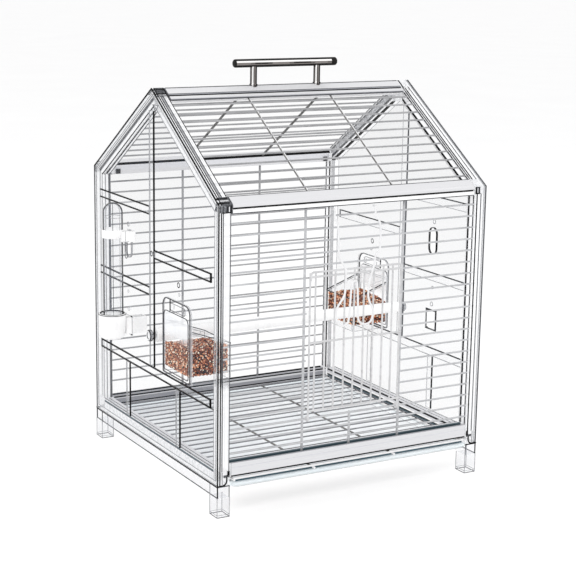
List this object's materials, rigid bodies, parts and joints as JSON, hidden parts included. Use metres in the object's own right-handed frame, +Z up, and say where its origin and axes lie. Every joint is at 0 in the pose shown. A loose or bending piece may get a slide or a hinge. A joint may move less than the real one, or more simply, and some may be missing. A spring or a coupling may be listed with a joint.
{
  "type": "bird travel carrier",
  "caption": "House-shaped clear bird carrier with wire walls and roof, hinged front door with spring clip, slide-out tray and floor grate, feeders, drinker, perch and top handle.",
  "frame": {"origin": "middle of the footprint, on the floor under the feet", "axes": "+X along the ridge from the left gable (drinker side) to the right gable; -Y is the front with the door; +Z up"},
  "size_m": [0.4376, 0.387, 0.5457],
  "materials": {
    "clear_panel": "clear polished",
    "frame_profile": "clear extruded",
    "sill_profile": "satin",
    "black_plastic": "fine grain",
    "satin_aluminium": "satin anodised",
    "clear_base": "clear polished",
    "wire": "light smooth coating",
    "white_wire": "white coating",
    "clear_tray": "clear moulded",
    "clear_feeder": "clear moulded",
    "clear_tube": "clear moulded",
    "white_plastic": "satin white",
    "brushed_handle": "brushed"
  },
  "bodies": {
    "cage": {"left_panel": "clear_panel", "right_panel": "clear_panel", "left_front_post": "frame_profile", "left_back_post": "frame_profile", "right_front_post": "frame_profile", "right_back_post": "frame_profile", "left_front_rafter": "frame_profile", "left_back_rafter": "frame_profile", "right_front_rafter": "frame_profile", "right_back_rafter": "frame_profile", "left_sill": "sill_profile", "right_sill": "sill_profile", "eave_connectors": "black_plastic", "ridge_connectors": "black_plastic", "sill_connectors": "black_plastic", "bar_plugs": "black_plastic", "ridge_bar": "satin_aluminium", "front_eave_bar": "satin_aluminium", "back_eave_bar": "satin_aluminium", "front_sill_bar": "satin_aluminium", "back_sill_bar": "satin_aluminium", "left_base_rail": "clear_base", "right_base_rail": "clear_base", "feet": "clear_base", "front_grille": "wire", "back_grille": "wire", "front_roof_grille": "wire", "back_roof_grille": "wire", "drinker_clip": "white_plastic", "drinker_cup": "white_plastic", "perch": "white_plastic", "handle_bar": "brushed_handle", "handle_posts": "brushed_handle"},
    "door": {"door": "wire"},
    "latch": {"latch": "white_wire"},
    "tray": {"tray": "clear_tray"},
    "floor_grate": {"floor_grate": "wire"},
    "left_feeder": {"left_feeder": "clear_feeder"},
    "right_feeder": {"right_feeder": "clear_feeder"},
    "drinker_tube": {"drinker_tube": "clear_tube"},
    "left_perch_knob": {"left_perch_knob": "white_plastic"},
    "right_perch_knob": {"right_perch_knob": "white_plastic"}
  },
  "joints": [
    {"name": "door_hinge", "type": "hinge", "parent": "cage", "child": "door", "pos_m": [0, -0.185, 0.1094], "axis": [1, 0, 0], "range_deg": [0, 95]},
    {"name": "latch_slide", "type": "slide", "parent": "door", "child": "latch", "axis": [0, 0, -1], "range_m": [0, 0.012]},
    {"name": "tray_slide", "type": "slide", "parent": "cage", "child": "tray", "axis": [0, -1, 0], "range_m": [0, 0.33]},
    {"name": "grate_slide", "type": "slide", "parent": "cage", "child": "floor_grate", "axis": [0, -1, 0], "range_m": [0, 0.33]},
    {"name": "left_feeder_slide", "type": "slide", "parent": "cage", "child": "left_feeder", "axis": [-1, 0, 0], "range_m": [0, 0.06]},
    {"name": "right_feeder_slide", "type": "slide", "parent": "cage", "child": "right_feeder", "axis": [1, 0, 0], "range_m": [0, 0.06]},
    {"name": "tube_slide", "type": "slide", "parent": "cage", "child": "drinker_tube", "axis": [0, 0, 1], "range_m": [0, 0.04]},
    {"name": "left_knob_turn", "type": "hinge", "parent": "cage", "child": "left_perch_knob", "pos_m": [-0.1965, 0, 0.19], "axis": [-1, 0, 0], "continuous": true},
    {"name": "right_knob_turn", "type": "hinge", "parent": "cage", "child": "right_perch_knob", "pos_m": [0.1965, 0, 0.19], "axis": [1, 0, 0], "continuous": true}
  ]
}
